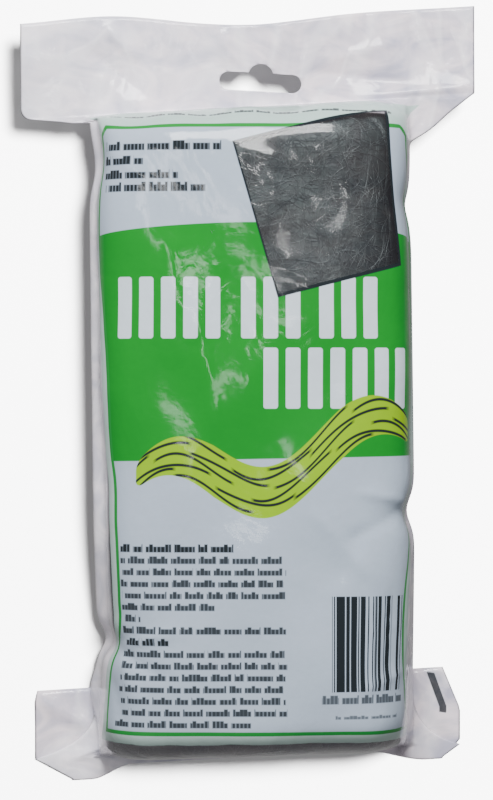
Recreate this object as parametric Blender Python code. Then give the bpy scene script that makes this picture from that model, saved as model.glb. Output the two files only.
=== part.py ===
"""A retail pack of fine steel wool: a folded wool ribbon sealed in a tube of printed film.

The pack lies on its back, front face up. +Y runs towards the header with the hang slot, +X to the
right of the front face, and Z = 0 is the surface it lies on. All sizes are metres.

Two pieces: film_bag, one tube of film welded flat at both ends, and steel_wool, the ribbon folded to
and fro inside it. The film has one lay-flat width all the way. Over the wool it is a soft box, with
its slack standing out as a keel along each side, and towards each weld the box closes and the spare
width goes out sideways as two flat ears. The header stands on from the top weld. At the lower end
the film comes right down over the end of the wool, and the tail beyond the lower weld is turned
under the back.
"""

import math

import bmesh
import bpy
import numpy as np

# The wrapped block, from weld to weld
BODY_WIDTH = 0.1255
BODY_DEPTH = 0.060
BODY_LENGTH = 0.2545
FACE_ROUNDING = 4.4  # superellipse exponent of the front half of the section
BACK_ROUNDING = 4.0  # and of the back half
BACK_PRESS = 0.0012  # how far the back is pressed flat by lying on it
PILLOW = 0.0030  # how much lower the front face is at the ends than in the middle
LUMP = 0.0007  # soft unevenness of the wool under the front face
LUMP_PITCH = (0.052, 0.071)  # across and along
BODY_RIGHT_OF_HEADER = 0.0021
BODY_LEAN = math.radians(0.7)  # the lower end lies this much to the right

# How the block rounds off to its welds
END_ROUNDING = 2.6  # superellipse exponent, seen from the side
TOP_SHOULDER = 0.018
LOWER_SHOULDER = 0.017
SHOULDER_FADE = 0.030  # how much further down the slant and dropped corners of an end die out
TOP_CORNER_DROP = {-1: 0.002, 1: 0.013}  # on the left and on the right
LOWER_CORNER_DROP = {-1: 0.007, 1: 0.006}
CORNER_REACH = 0.022  # how far in from the side a corner begins to drop
TOP_SLANT = math.radians(3.2)  # the right end of the top weld is higher
LOWER_SLANT = math.radians(2.0)
PLEAT_RISE = 0.0009  # gathers over the top shoulder
PLEAT_PITCH = 0.029
PLEAT_START = 0.4  # the rise of the end at which the gathers begin

# The film
FILM = 0.0003  # wall, thicker than real film so that it is a sound solid
GATHERS = 0.0012  # how much thicker it is where it is gathered, beside the top weld
GATHERS_REACH = 0.014
FILM_SLACK = 0.0105  # how much wider the tube is laid flat than half the girth of the block
KEEL = 0.0050  # how far the slack stands out past the wool at the side creases
KEEL_SHARES = (0.04, 0.30)  # of the height from the crease to a face, over which it draws in
KEEL_FLARES = ((-1, 0.234, 0.0036, 0.011),)  # side, distance below the top weld, extra, half length
EAR_FALL = {-1: 0.0030, 1: 0.0175}  # how far below the header each ear has run out, along Y
CREASE_FALL = (0.012, 0.105)  # above the lower end: the side creases are down, and still half way up
CREASES = (  # side, distance below the top weld, depth, half length
    (-1, 0.017, 0.0025, 0.012),
    (-1, 0.208, 0.0034, 0.006),
    (1, 0.034, 0.0022, 0.012),
    (1, 0.157, 0.0030, 0.007),
)

# The header, with its hang slot
HEADER_HEIGHT = 0.0359
HEADER_LEVEL = 0.030  # height of the top weld over the floor
HEADER_SLANT = math.radians(2.5)  # of its upper edge
HEADER_BUMPS = ((-0.054, 0.0024, 0.024), (0.004, -0.0038, 0.032))  # place, rise, half width
HEADER_WAVE = 0.0026  # how far the header waves up and down
HEADER_WAVE_PITCH = 0.105
HEADER_STIFF_SHARE = 0.7  # of its height from the weld, over which the wave grows
HEADER_ROUNDING = {-1: 0.0040, 1: 0.0010}  # of its lower corners
SLOT_LENGTH = 0.032
SLOT_HEIGHT = 0.0070
SLOT_CROWN_RADIUS = 0.0050
SLOT_CROWN_RISE = 0.0020
SLOT_ABOVE_WELD = 0.0098
SLOT_RIGHT_OF_MIDDLE = 0.0050
SLOT_TILT = math.radians(-3.5)

# The tail, turned under the back
TAIL_LENGTH = 0.036
TAIL_SLANT = math.radians(3.4)
TAIL_NARROWING = 0.0035  # on each side, from gathers in the weld
TAIL_GAP = 0.0004  # between the tail and the back above it
BACK_RAMP = (0.016, 0.006)  # before the cut edge, where the back begins to rise and has risen
TURN_OVERHANG = 0.0068  # how far the turn stands out past the end of the block
TURN_BOW = 0.0052  # how much less it does so in the middle, where the wool holds it
TURN_BOW_RISE = (-0.062, -0.046)  # from the left ear to the middle
TURN_BOW_FALL = (0.044, 0.072)  # and from the middle to the right ear
TURN_CLIP = {-1: (0.0150, 0.0090), 1: (0.0070, 0.0060)}  # slanted ear corners at the turn: across, along
CUT_CLIP = {-1: (0.0010, 0.0040), 1: (0.0070, 0.0170)}  # and at the cut edge of the tail

# Two vent holes through the back film, which let the air out when the pack is pressed
VENT_RADIUS = 0.0022
VENT_SPACING = 0.050
VENT_BELOW_WELD = 0.045

# The wool ribbon, folded to and fro
LAYERS = 6
WOOL_GAP = 0.0004  # between the wool and the film
LAYER_GAP = 0.0010  # between one layer and the next
GAP_FLARE = 0.0036  # the gap where it opens between two folds
FLARE_LENGTH = 0.011
FOLD_WALL = 0.0085  # how thick the wool is where the ribbon turns back

# How finely the surfaces are divided
HALF_STEPS = 27  # over the front half of a ring, and as many over the back half
CORNER_DENSITY = 1.6  # how much closer the points are at the long corners of the block
CORNER_PLACE = 0.155  # of the lay-flat width from the side crease
CORNER_SPREAD = 0.07
KEEL_DENSITY = 1.6  # and at the keels
KEEL_SPREAD = 0.055
HEADER_STEPS = 5
HEADER_CORNER_SHARES = (0.5, 0.15)  # of its round lower corners, where the header has a ring
SHOULDER_STEPS = 6
EAR_STEPS = {"top": 2, "lower": 1}  # more of them beside each weld, where the ears run out
PARTED = slice(4, -2)  # the rings of the block where the film has parted far enough to be hollow
BODY_STEPS = 15
TURN_STEPS = 3
TAIL_STEPS = 4

TOP_WELD = BODY_LENGTH / 2
LOWER_END = -BODY_LENGTH / 2
TAIL_LIFT = 2 * FILM + TAIL_GAP  # height of the back where the tail lies under it

FILM_COLOUR = (0.80, 0.79, 0.83)
WOOL_COLOUR = (0.16, 0.17, 0.17)


def smooth(start, end, value):
    """0 at start, 1 at end, and an even S between."""
    share = np.clip((value - start) / (end - start), 0.0, 1.0)
    return share * share * (3 - 2 * share)


def rounding(share):
    """Height, from 0 to 1, of the rounded end at this share of its length."""
    return (1 - (1 - min(max(share, 0.0), 1.0)) ** END_ROUNDING) ** (1 / END_ROUNDING)


def superellipse(left, right, height, exponent, steps=240):
    """Half a section from the left edge over the top to the right edge, as x and height."""
    turn = np.linspace(math.pi, 0, steps + 1)
    across = np.cos(turn)
    x = np.where(across < 0, left, right) * np.sign(across) * np.abs(across) ** (2 / exponent)
    return np.column_stack([x, height * np.abs(np.sin(turn)) ** (2 / exponent)])


def length_along(line):
    """Distance along a line to each of its points."""
    return np.concatenate([[0], np.cumsum(np.linalg.norm(np.diff(line, axis=0), axis=1))])


def lay_flat_width():
    """The tube laid flat is a little wider than the film that goes half way round the block."""
    half = BODY_WIDTH / 2
    return length_along(superellipse(half, half, BODY_DEPTH / 2, FACE_ROUNDING))[-1] + FILM_SLACK


BAG_WIDTH = lay_flat_width()


def half_shares():
    """Where the points of half a ring lie, from 0 to 1, closer together at the long corners."""
    fine = np.linspace(0, 1, 400)
    density = 1 + sum(
        CORNER_DENSITY * np.exp(-(((fine - place) / CORNER_SPREAD) ** 2))
        for place in (CORNER_PLACE, 1 - CORNER_PLACE)
    )
    density = density + sum(
        KEEL_DENSITY * np.exp(-(((fine - place) / KEEL_SPREAD) ** 2)) for place in (0, 1)
    )
    total = np.concatenate([[0], np.cumsum((density[1:] + density[:-1]) / 2)])
    return np.interp(np.linspace(0, total[-1], HALF_STEPS + 1), total, fine)


SHARES = half_shares()


def reach(down, side):
    """How far the block reaches from the middle of the header to one side, this far down."""
    lean = BODY_RIGHT_OF_HEADER + math.tan(BODY_LEAN) * (down - BODY_LENGTH / 2)
    dents = sum(
        depth * math.exp(-(((down - place) / half_length) ** 2))
        for crease_side, place, depth, half_length in CREASES
        if crease_side == side
    )
    return BODY_WIDTH / 2 + side * lean - dents


def flare(down, side):
    """How much further the keel stands out on one side, this far down, than it does all along."""
    return sum(
        extra * math.exp(-(((down - place) / half_length) ** 2))
        for keel_side, place, extra, half_length in KEEL_FLARES
        if keel_side == side
    )


def wall(down):
    """Thickness of the film, this far below the top weld."""
    return FILM + GATHERS * (1 - smooth(0, GATHERS_REACH, down))


def back_height(down):
    """Height of the back over the floor: it rides up where the tail lies under it."""
    tail_end = BODY_LENGTH + TURN_OVERHANG - TAIL_LENGTH - math.tan(TAIL_SLANT) * BAG_WIDTH / 2
    return TAIL_LIFT * smooth(tail_end - BACK_RAMP[0], tail_end - BACK_RAMP[1], down)


def crease_height(down):
    """Height of the side creases: half way up, but down at the back where the tail turns under."""
    at_tail = TAIL_LIFT + FILM
    return at_tail + (HEADER_LEVEL - at_tail) * smooth(*CREASE_FALL, BODY_LENGTH - down)


def front_height(down):
    """Height of the front face, before it rounds off at the ends."""
    return BODY_DEPTH - PILLOW * (2 * down / BODY_LENGTH - 1) ** 2


def ends_rise(down):
    """How far the section has opened: 0 at a weld, 1 past the shoulder, for each end."""
    return rounding(down / TOP_SHOULDER), rounding((BODY_LENGTH - down) / LOWER_SHOULDER)


def ring_along(x, down, inset, left, right):
    """Y of each point of a ring: slanted, and with dropped corners, towards either end."""
    top_rise, lower_rise = ends_rise(down)
    half_way = 1 - 2 * down / BODY_LENGTH
    y = TOP_WELD - down - inset * half_way
    top = 1 - smooth(TOP_SHOULDER, TOP_SHOULDER + SHOULDER_FADE, down)
    lower = 1 - smooth(LOWER_SHOULDER, LOWER_SHOULDER + SHOULDER_FADE, BODY_LENGTH - down)
    y = y + x * (math.tan(TOP_SLANT) * top + math.tan(LOWER_SLANT) * lower)
    edge = np.where(x < 0, left, right) - inset
    corner = np.clip((np.abs(x) - edge + CORNER_REACH) / CORNER_REACH, 0, 1) ** 2
    top_drop = np.where(x < 0, TOP_CORNER_DROP[-1], TOP_CORNER_DROP[1])
    lower_drop = np.where(x < 0, LOWER_CORNER_DROP[-1], LOWER_CORNER_DROP[1])
    y = y - corner * top_drop * top * top_rise + corner * lower_drop * lower * lower_rise
    pleat = math.sin(math.pi * max(0.0, (top_rise - PLEAT_START) / (1 - PLEAT_START)))
    return y + PLEAT_RISE * pleat * np.cos(2 * math.pi * x / PLEAT_PITCH)


def spread(line):
    """The line's points at the shares of its length where a ring has them."""
    along = length_along(line)
    at = SHARES * along[-1]
    return np.column_stack([np.interp(at, along, line[:, k]) for k in range(2)])


def ear_ends(down, left, right):
    """How far the film goes to the left and right, ears included, for a block with these edges."""
    top_rise, lower_rise = ends_rise(down)
    ends = []
    for side, edge in ((-1, left), (1, right)):
        fall = down + TOP_CORNER_DROP[side] * top_rise
        top = max(0.0, 1 - fall / EAR_FALL[side]) * (BAG_WIDTH / 2 - HEADER_ROUNDING[side] - edge)
        lower = (1 - lower_rise) * (BAG_WIDTH / 2 - TAIL_NARROWING - edge)
        ends.append(edge + top + lower)
    return ends


def keeled(line, tall, flares):
    """Half a section with the loose film at both sides pressed flat: a keel along each crease."""
    on_left = line[:, 0] < 0
    edge = np.where(on_left, -line[0, 0], line[-1, 0])
    keel = KEEL + np.where(on_left, *flares)
    drawn = keel * smooth(*KEEL_SHARES, line[:, 1] / tall)
    return np.column_stack([line[:, 0] * (1 - drawn / edge), line[:, 1]])


def outline(down):
    """The film's outer face in section: a closed line of x and z, from the left crease over the front."""
    top_rise, lower_rise = ends_rise(down)
    rise = min(top_rise, lower_rise)
    flares = flare(down, -1), flare(down, 1)
    left, right = reach(down, -1) + flares[0], reach(down, 1) + flares[1]
    level = crease_height(down)
    floor = level - max((level - back_height(down)) * top_rise, FILM)
    height = (front_height(down) - level) * rise
    depth = level - floor + BACK_PRESS * rise
    far_left, far_right = ear_ends(down, left, right)
    halves = []
    for tall, exponent in ((height, FACE_ROUNDING), (depth, BACK_ROUNDING)):
        line = keeled(superellipse(left, right, tall, exponent), max(tall, FILM), flares)
        if rise < 1:
            line[:, 1] = np.maximum(line[:, 1], FILM)
            line = np.vstack([[-far_left, FILM], line, [far_right, FILM]])
        line = spread(line)
        line[0, 1] = line[-1, 1] = 0.0
        halves.append(line)
    front, under = halves
    front[:, 1] = level + front[:, 1]
    under[:, 1] = np.maximum(level - under[:, 1], floor)
    return np.vstack([front, under[-2:0:-1]])


def drawn_in(ring, inset, left, right, level):
    """The ring this far inside the film's outer face: without the ears, and with all sides moved in."""
    ring = np.where((ring[:, :1] < -left) | (ring[:, :1] > right), np.nan, ring)
    on_ear = np.isnan(ring[:, 0])
    half = len(ring) // 2
    side = np.arange(len(ring))
    nearer_left = (side < half // 2) | (side > len(ring) - half // 2)
    ring[on_ear, 0] = np.where(nearer_left[on_ear], -left, right)
    ring[on_ear, 1] = level
    kept = [k for k in range(len(ring)) if np.linalg.norm(ring[k] - ring[k - 1]) > 1e-6]
    points = ring[kept]
    ahead = np.roll(points, -1, axis=0) - points
    ahead /= np.linalg.norm(ahead, axis=1)[:, None]
    after = np.column_stack([ahead[:, 1], -ahead[:, 0]])
    before = np.roll(after, 1, axis=0)
    turn = 1 + np.sum(after * before, axis=1)
    moved = points + inset * (after + before) / turn[:, None]
    owner = np.searchsorted(kept, np.arange(len(ring)), side="right") - 1
    return moved[owner]


def block_ring(down, inset=0.0, slack=True):
    """A ring round the block: the film's outer face, or a face this far inside it, without ears.

    Without slack it doesn't reach into the keels of loose film at the sides.
    """
    top_rise, lower_rise = ends_rise(down)
    left, right = reach(down, -1), reach(down, 1)
    level = crease_height(down)
    ring = outline(down)
    if inset:
        further = [flare(down, side) if slack else -KEEL for side in (-1, 1)]
        ring = drawn_in(ring, inset, left + further[0], right + further[1], level)
    x, z = ring[:, 0], ring[:, 1]
    y = ring_along(x, down, inset, left, right)
    over = np.clip((z - level) / (BODY_DEPTH - HEADER_LEVEL), 0, 1) * min(top_rise, lower_rise)
    lump = np.cos(2 * math.pi * x / LUMP_PITCH[0]) * np.sin(2 * math.pi * y / LUMP_PITCH[1])
    return np.column_stack([x, y, z + LUMP * over * lump])


def flat_ring(x, y, z, normal):
    """A ring round two films that lie flat on each other: x, y and z of the middle line."""
    middle = np.column_stack([x, y, z])
    shift = FILM * np.asarray(normal)
    front = middle + shift
    front[0], front[-1] = middle[0], middle[-1]
    return np.vstack([front, (middle - shift)[-2:0:-1]])


def rounded_off(radius, distance):
    """How far a round corner has drawn in, this far from the end that it rounds off."""
    return radius - math.sqrt(radius**2 - max(0.0, radius - distance) ** 2)


def header_ring(share):
    """A ring of the header: share 1 is its upper edge."""
    corners = [rounded_off(HEADER_ROUNDING[side], share * HEADER_HEIGHT) for side in (-1, 1)]
    x = np.interp(SHARES, (0, 1), (corners[0] - BAG_WIDTH / 2, BAG_WIDTH / 2 - corners[1]))
    weld = TOP_WELD + math.tan(TOP_SLANT) * x
    upper = TOP_WELD + HEADER_HEIGHT + math.tan(HEADER_SLANT) * x
    for place, rise, half_width in HEADER_BUMPS:
        upper = upper + rise * np.exp(-(((x - place) / half_width) ** 2))
    y = weld + (upper - weld) * share
    wave = np.cos(2 * math.pi * (x + BAG_WIDTH / 2) / HEADER_WAVE_PITCH)
    lift = HEADER_WAVE * smooth(0, HEADER_STIFF_SHARE, share) * wave
    return flat_ring(x, y, HEADER_LEVEL + lift, (0, 0, 1))


def clipped(x, clip, distance):
    """The x of a flat ring, drawn in at both ears this far from where they are slanted off."""
    left = clip[-1][0] * max(0.0, 1 - distance / clip[-1][1])
    right = clip[1][0] * max(0.0, 1 - distance / clip[1][1])
    return np.interp(x, (x[0], x[-1]), (x[0] + left, x[-1] - right))


def turn_line(x, share=0.0):
    """Y of the line where the tail turns under, or of one nearer its straight cut edge."""
    bow = TURN_BOW * smooth(*TURN_BOW_RISE, x) * (1 - smooth(*TURN_BOW_FALL, x))
    return LOWER_END - TURN_OVERHANG + math.tan(TAIL_SLANT) * x + bow * (1 - share)


def tail_rings():
    """The rings past the lower weld: out to the turn, round it, and back under the pack."""
    half = BAG_WIDTH / 2 - TAIL_NARROWING
    straight = (2 * SHARES - 1) * half
    radius = TAIL_LIFT / 2
    rings = []
    for step in range(TURN_STEPS + 1):
        angle = math.pi * step / TURN_STEPS
        normal = (0, -math.sin(angle), math.cos(angle))
        x = clipped(straight, TURN_CLIP, 0.0)
        z = np.full_like(x, FILM + radius + radius * math.cos(angle))
        rings.append(flat_ring(x, turn_line(x) - radius * math.sin(angle), z, normal))
    near = TURN_CLIP[-1][1]
    far = TAIL_LENGTH - CUT_CLIP[1][1]
    for distance in (near / 2, near, *np.linspace(far, TAIL_LENGTH, TAIL_STEPS)):
        x = clipped(clipped(straight, TURN_CLIP, distance), CUT_CLIP, TAIL_LENGTH - distance)
        y = turn_line(x, distance / TAIL_LENGTH) + distance
        rings.append(flat_ring(x, y, np.full_like(x, FILM), (0, 0, -1)))
    return rings


def shoulder(length, ear_steps):
    """Distances from a weld at which its shoulder has a ring."""
    steps = [*range(SHOULDER_STEPS + 1), *(step + 0.5 for step in range(ear_steps))]
    turns = [math.pi / 2 * step / SHOULDER_STEPS for step in sorted(steps)]
    return [length * (1 - math.cos(turn) ** (2 / END_ROUNDING)) for turn in turns]


def stations():
    """Distances below the top weld at which the block has a ring."""
    top = shoulder(TOP_SHOULDER, EAR_STEPS["top"])
    lower = [BODY_LENGTH - place for place in reversed(shoulder(LOWER_SHOULDER, EAR_STEPS["lower"]))]
    between = np.linspace(top[-1], lower[0], BODY_STEPS + 1)[1:-1]
    return top + list(between) + lower


def new_mesh(name, rings):
    """A closed surface through rings of equal count, closed at both ends from front to back."""
    places = {}
    shape = bmesh.new()

    def vertex(point):
        key = tuple(round(value * 1e6) for value in point)
        if key not in places:
            places[key] = shape.verts.new(point)
        return places[key]

    grid = [[vertex(point) for point in ring] for ring in rings]
    count = len(grid[0])
    half = count // 2

    def face(corners):
        kept = [corner for k, corner in enumerate(corners) if corner is not corners[k - 1]]
        if len(set(kept)) == len(kept) and len(kept) > 2 and not shape.faces.get(kept):
            shape.faces.new(kept)

    for upper, lower in zip(grid, grid[1:]):
        for k in range(count):
            after = (k + 1) % count
            face([upper[k], upper[after], lower[after], lower[k]])
    for ring, inward in ((grid[0], 1), (grid[-1], -1)):
        for k in range(half):
            across = [ring[k], ring[-k % count], ring[(-k - 1) % count], ring[k + 1]]
            face(across[::inward])
    bmesh.ops.recalc_face_normals(shape, faces=shape.faces)
    bmesh.ops.triangulate(shape, faces=shape.faces, quad_method="FIXED")
    mesh = bpy.data.meshes.new(name)
    shape.to_mesh(mesh)
    shape.free()
    return mesh


def material(name, colour, roughness, metallic):
    """A plain surface of one colour."""
    made = bpy.data.materials.new(name)
    made.use_nodes = True
    shader = made.node_tree.nodes["Principled BSDF"]
    shader.inputs["Base Color"].default_value = (*colour, 1)
    shader.inputs["Roughness"].default_value = roughness
    shader.inputs["Metallic"].default_value = metallic
    return made


def add(name, mesh, parent):
    """An object of this mesh in the scene, under the pack's empty."""
    made = bpy.data.objects.new(name, mesh)
    made.parent = parent
    bpy.context.scene.collection.objects.link(made)
    return made


def cut(target, cutter):
    """Take the cutter out of the target, and leave the cutter as a wire guide."""
    cutter.hide_render = True
    cutter.display_type = "WIRE"
    modifier = target.modifiers.new(cutter.name, "BOOLEAN")
    modifier.operation = "DIFFERENCE"
    modifier.solver = "EXACT"
    modifier.object = cutter


def prism(name, outline, low, high, parent, plane="XY"):
    """An upright prism of an outline, or for plane YZ one that runs across the pack."""
    shape = bmesh.new()
    corners = [(a, b, low) if plane == "XY" else (low, a, b) for a, b in outline]
    base = shape.faces.new([shape.verts.new(corner) for corner in corners])
    grown = bmesh.ops.extrude_face_region(shape, geom=[base])["geom"]
    step = (0, 0, high - low) if plane == "XY" else (high - low, 0, 0)
    bmesh.ops.translate(shape, vec=step, verts=[v for v in grown if isinstance(v, bmesh.types.BMVert)])
    bmesh.ops.recalc_face_normals(shape, faces=shape.faces)
    mesh = bpy.data.meshes.new(name)
    shape.to_mesh(mesh)
    shape.free()
    return add(name, mesh, parent)


def arc(centre, radius, start, end, steps):
    """Points of an arc, angles in degrees."""
    angles = np.radians(np.linspace(start, end, steps + 1))
    return [(centre[0] + radius * math.cos(a), centre[1] + radius * math.sin(a)) for a in angles]


def slot_outline():
    """The hang slot: a long slot with round ends and a round crown over its middle."""
    end_radius = SLOT_HEIGHT / 2
    straight = SLOT_LENGTH / 2 - end_radius
    dip = math.degrees(math.asin((end_radius - SLOT_CROWN_RISE) / SLOT_CROWN_RADIUS))
    points = arc((-straight, 0), end_radius, 90, 270, 8)
    points += arc((straight, 0), end_radius, -90, 90, 8)
    points += arc((0, SLOT_CROWN_RISE), SLOT_CROWN_RADIUS, dip, 180 - dip, 8)
    cos, sin = math.cos(SLOT_TILT), math.sin(SLOT_TILT)
    middle = (SLOT_RIGHT_OF_MIDDLE, TOP_WELD + SLOT_ABOVE_WELD)
    return [(middle[0] + x * cos - y * sin, middle[1] + x * sin + y * cos) for x, y in points]


def film_bag(parent):
    """The film: an outer face from the header to the cut edge of the tail, hollow over the wool."""
    corner = max(HEADER_ROUNDING.values()) / HEADER_HEIGHT
    header = [header_ring(share) for share in np.linspace(1, corner, HEADER_STEPS)]
    header += [header_ring(corner * share) for share in HEADER_CORNER_SHARES]
    block = [block_ring(down) for down in stations()]
    bag = add("film_bag", new_mesh("film_bag", header + block + tail_rings()), parent)
    hollow = [block_ring(down, wall(down)) for down in stations()[PARTED]]
    cut(bag, add("hollow_cutter", new_mesh("hollow_cutter", hollow), parent))
    cut(bag, prism("slot_cutter", slot_outline(), 0, BODY_DEPTH, parent))
    for side in (-1, 1):
        centre = (side * VENT_SPACING / 2, TOP_WELD - VENT_BELOW_WELD)
        outline = arc(centre, VENT_RADIUS, 0, 345, 15)
        cut(bag, prism(f"vent_cutter_{side}", outline, -FILM, 2 * FILM, parent))
    return bag


def gap_outline(height, open_end):
    """The gap between two layers, seen from the side: thin, and flared where it opens."""
    far = BODY_LENGTH
    closed = -open_end * (BODY_LENGTH / 2 - FOLD_WALL)
    flare = open_end * (BODY_LENGTH / 2 - FLARE_LENGTH)
    thin, wide = LAYER_GAP / 2, GAP_FLARE / 2
    steepness = (wide - thin) / FLARE_LENGTH
    outside = thin + steepness * (far - abs(flare))
    return [
        (closed, height - thin),
        (flare, height - thin),
        (open_end * far, height - outside),
        (open_end * far, height + outside),
        (flare, height + thin),
        (closed, height + thin),
    ]


def steel_wool(parent):
    """The wool: it fills the film, and gaps from alternate ends make it one ribbon folded up."""
    rings = [block_ring(down, wall(down) + WOOL_GAP, slack=False) for down in stations()[PARTED]]
    wool = add("steel_wool", new_mesh("steel_wool", rings), parent)
    pitch = (BODY_DEPTH - 2 * (FILM + WOOL_GAP)) / LAYERS
    for layer in range(1, LAYERS):
        height = FILM + WOOL_GAP + layer * pitch
        outline = gap_outline(height, 1 if layer % 2 else -1)
        cutter = prism(f"layer_cutter_{layer}", outline, -BODY_WIDTH, BODY_WIDTH, parent, "YZ")
        cut(wool, cutter)
    return wool


def main():
    for old in list(bpy.data.objects):
        bpy.data.objects.remove(old, do_unlink=True)
    pack = bpy.data.objects.new("pack", None)
    bpy.context.scene.collection.objects.link(pack)
    bag = film_bag(pack)
    wool = steel_wool(pack)
    bag.data.materials.append(material("film", FILM_COLOUR, 0.25, 0.0))
    wool.data.materials.append(material("wool", WOOL_COLOUR, 0.5, 0.8))
    for piece in (bag, wool):
        piece.data.shade_smooth()
        piece.data.set_sharp_from_angle(angle=math.radians(40))
    along = [corner.co.y for corner in bag.data.vertices]
    pack.location.y = -(max(along) + min(along)) / 2


main()
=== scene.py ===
"""A retail pack of fine steel wool, lying on its back, seen square on from above.

The film is one fine mesh made by the rule that shapes the solids, with its wrinkles added. Its print
is worked out from a map that lies on the film like the real print, in metres from the middle of the
front face. The wool is a block with layers and loose fibres. All sizes are metres.
"""

import math
import random

import bmesh
import bpy
import numpy as np
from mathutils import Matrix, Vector, noise
from mathutils.bvhtree import BVHTree


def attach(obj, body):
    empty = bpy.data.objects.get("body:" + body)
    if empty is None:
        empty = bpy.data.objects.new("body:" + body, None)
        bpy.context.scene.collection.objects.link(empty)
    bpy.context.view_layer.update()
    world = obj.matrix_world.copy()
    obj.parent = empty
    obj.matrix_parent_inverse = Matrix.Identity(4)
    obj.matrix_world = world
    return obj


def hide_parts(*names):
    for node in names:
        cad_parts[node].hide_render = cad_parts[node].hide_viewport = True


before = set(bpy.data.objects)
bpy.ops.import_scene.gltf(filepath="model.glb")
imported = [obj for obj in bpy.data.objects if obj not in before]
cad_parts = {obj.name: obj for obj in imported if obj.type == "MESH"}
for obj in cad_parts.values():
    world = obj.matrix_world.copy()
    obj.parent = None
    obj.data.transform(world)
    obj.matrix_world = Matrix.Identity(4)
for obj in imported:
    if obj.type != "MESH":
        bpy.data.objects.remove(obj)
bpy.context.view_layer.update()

# The sizes of the pack, as its solids have them
BODY_WIDTH = 0.1255
BODY_DEPTH = 0.06
BODY_LENGTH = 0.2545
FACE_ROUNDING = 4.4
BACK_ROUNDING = 4.0
BACK_PRESS = 0.0012
PILLOW = 0.003
LUMP = 0.0007
LUMP_PITCH = (0.052, 0.071)
BODY_RIGHT_OF_HEADER = 0.0021
BODY_LEAN = math.radians(0.7)
END_ROUNDING = 2.6
TOP_SHOULDER = 0.018
LOWER_SHOULDER = 0.017
SHOULDER_FADE = 0.03
TOP_CORNER_DROP = {-1: 0.002, 1: 0.013}
LOWER_CORNER_DROP = {-1: 0.007, 1: 0.006}
CORNER_REACH = 0.022
TOP_SLANT = math.radians(3.2)
LOWER_SLANT = math.radians(2.0)
PLEAT_RISE = 0.0009
PLEAT_PITCH = 0.029
PLEAT_START = 0.4
FILM = 0.0003
FILM_SLACK = 0.0105
KEEL = 0.005
KEEL_SHARES = (0.04, 0.3)
KEEL_FLARES = ((-1, 0.234, 0.0036, 0.011),)
EAR_FALL = {-1: 0.003, 1: 0.0175}
CREASE_FALL = (0.012, 0.105)
CREASES = (
    (-1, 0.017, 0.0025, 0.012),
    (-1, 0.208, 0.0034, 0.006),
    (1, 0.034, 0.0022, 0.012),
    (1, 0.157, 0.003, 0.007),
)
HEADER_HEIGHT = 0.0359
HEADER_LEVEL = 0.03
HEADER_SLANT = math.radians(2.5)
HEADER_BUMPS = ((-0.054, 0.0024, 0.024), (0.004, -0.0038, 0.032))
HEADER_WAVE = 0.0026
HEADER_WAVE_PITCH = 0.105
HEADER_STIFF_SHARE = 0.7
HEADER_ROUNDING = {-1: 0.004, 1: 0.001}
SLOT_LENGTH = 0.032
SLOT_HEIGHT = 0.007
SLOT_CROWN_RADIUS = 0.005
SLOT_CROWN_RISE = 0.002
SLOT_ABOVE_WELD = 0.0098
SLOT_RIGHT_OF_MIDDLE = 0.005
SLOT_TILT = math.radians(-3.5)
TAIL_LENGTH = 0.036
TAIL_SLANT = math.radians(3.4)
TAIL_NARROWING = 0.0035
TAIL_GAP = 0.0004
BACK_RAMP = (0.016, 0.006)
TURN_OVERHANG = 0.0068
TURN_BOW = 0.0052
TURN_BOW_RISE = (-0.062, -0.046)
TURN_BOW_FALL = (0.044, 0.072)
TURN_CLIP = {-1: (0.015, 0.009), 1: (0.007, 0.006)}
CUT_CLIP = {-1: (0.001, 0.004), 1: (0.007, 0.017)}
VENT_RADIUS = 0.0022
VENT_SPACING = 0.05
VENT_BELOW_WELD = 0.045

TOP_WELD = BODY_LENGTH / 2
LOWER_END = -BODY_LENGTH / 2
TAIL_LIFT = 2 * FILM + TAIL_GAP

# How far the faces draw in from the edge of each keel: distance below the top weld, and depth
KEEL_DRAWN = {
    -1: ((0.0, 0.003), (0.11, 0.0036), (0.15, 0.0055), (0.196, 0.0056), (0.214, 0.0026), (0.2545, 0.0)),
    1: ((0.0, 0.0014), (0.2, 0.002), (0.2545, 0.0034)),
}

# How finely the film is divided
SECTION_STEPS = 600
SHARE_STEPS = 1200
HALF_STEPS = 90
CORNER_DENSITY = 1.0
CORNER_PLACE = 0.155
CORNER_SPREAD = 0.09
KEEL_DENSITY = 1.5
KEEL_SPREAD = 0.05
SHEET = 0.00012
HEADER_STEPS = 30
HEADER_CROWDING = 1.3
SHOULDER_STEPS = 20
BODY_STEPS = 150
TURN_STEPS = 8
TAIL_STEPS = 16
RUN_OUT_STEPS = 5
ARC_STEPS = 16
VENT_STEPS = 24

# The camera: how far it is over the middle of the pack's depth, and the size of a pixel there
CAMERA_HEIGHT = 1.15
PIXEL = 0.00039
PICTURE = (493, 800)
AIM = (-0.0004, -0.0009)
SENSOR = 36.0


def smooth(start, end, value):
    """0 at start, 1 at end, and an even S between."""
    share = np.clip((value - start) / (end - start), 0.0, 1.0)
    return share * share * (3 - 2 * share)


def rounding(share):
    """Height, from 0 to 1, of the rounded end at this share of its length."""
    return (1 - (1 - min(max(share, 0.0), 1.0)) ** END_ROUNDING) ** (1 / END_ROUNDING)


def superellipse(left, right, height, exponent):
    """Half a section from the left edge over the top to the right edge, as x and height."""
    turn = np.linspace(math.pi, 0, SECTION_STEPS + 1)
    across = np.cos(turn)
    x = np.where(across < 0, left, right) * np.sign(across) * np.abs(across) ** (2 / exponent)
    return np.column_stack([x, height * np.abs(np.sin(turn)) ** (2 / exponent)])


def length_along(line):
    """Distance along a line to each of its points."""
    return np.concatenate([[0], np.cumsum(np.linalg.norm(np.diff(line, axis=0), axis=1))])


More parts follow.
